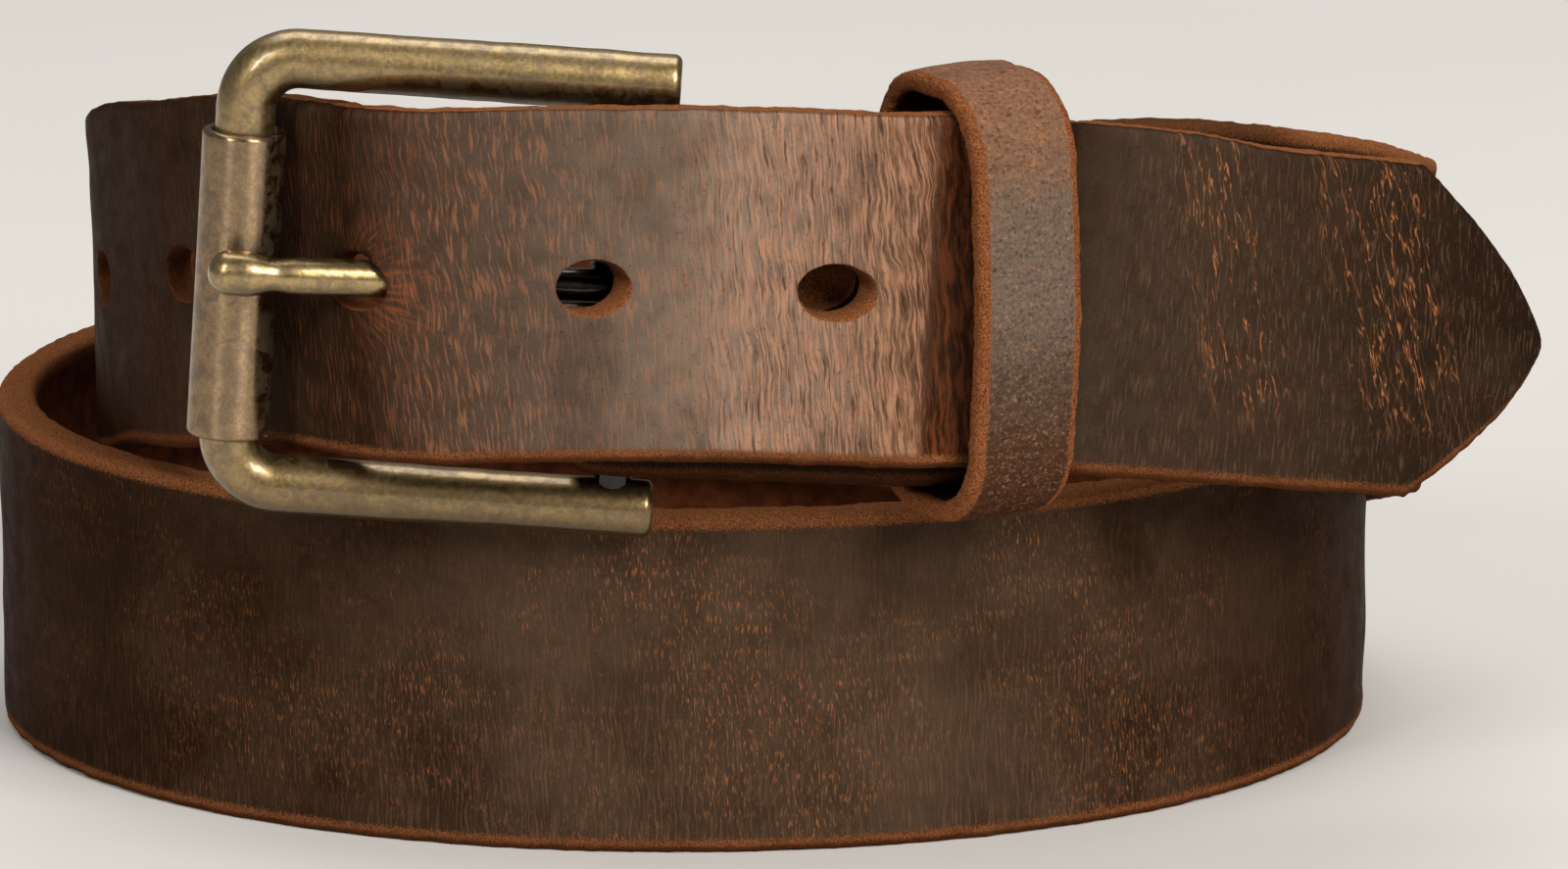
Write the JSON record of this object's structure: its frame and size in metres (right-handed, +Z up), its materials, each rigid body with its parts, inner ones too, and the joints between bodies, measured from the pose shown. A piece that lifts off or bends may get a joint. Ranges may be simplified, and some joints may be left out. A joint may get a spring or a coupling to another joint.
{
  "type": "leather belt",
  "caption": "Thick pull-up leather belt buckled and coiled in two turns, with a U-frame roller buckle, prong, leather keeper and pointed free end.",
  "frame": {"origin": "middle of the underside, on the surface that the coil stands on", "axes": "+X along the front of the coil from the buckle to the free end, +Y from front to back, +Z up"},
  "size_m": [0.1742, 0.1426, 0.0923],
  "materials": {
    "strap_leather": "oiled pull-up leather, dark brown with orange-brown pull-up marks and raw edges",
    "keeper_leather": "the same leather, paler where it is bent",
    "antique_brass": "antique brass, mottled patina, polished high spots",
    "steel": "plain"
  },
  "bodies": {
    "belt": {"strap": "strap_leather", "screw_post_1": "antique_brass", "screw_1": "antique_brass", "screw_post_2": "antique_brass", "screw_2": "antique_brass"},
    "free_end": {"strap_tip": "strap_leather"},
    "keeper_loop": {"keeper": "keeper_leather", "keeper_staple": "steel"},
    "buckle": {"buckle_frame": "antique_brass", "heel_bar": "steel"},
    "roller_sleeve": {"roller": "antique_brass"},
    "prong_arm": {"prong": "antique_brass"}
  },
  "joints": [
    {"name": "roller_spin", "type": "hinge", "parent": "buckle", "child": "roller_sleeve", "pos_m": [-0.05528, -0.0594, 0.0649], "axis": [0.0698, 0, 0.9976], "continuous": true},
    {"name": "buckle_tilt", "type": "hinge", "parent": "belt", "child": "buckle", "pos_m": [-0.01379, -0.0594, 0.0634], "axis": [0.0698, 0, 0.9976], "range_deg": [0, 1.5]},
    {"name": "prong_pivot", "type": "hinge", "parent": "buckle", "child": "prong_arm", "pos_m": [-0.01379, -0.0594, 0.0634], "axis": [0.0698, 0, 0.9976], "range_deg": [0, 1.5]},
    {"name": "keeper_slide", "type": "slide", "parent": "belt", "child": "keeper_loop", "axis": [0.866, 0.5, 0], "range_m": [0, 0.003]},
    {"name": "free_end_flex", "type": "hinge", "parent": "belt", "child": "free_end", "pos_m": [0.03895, -0.05516, 0.06179], "axis": [-0.1486, -0.0858, -0.9852], "range_deg": [0, 28], "stiffness_Nm_per_rad": 0.05}
  ]
}
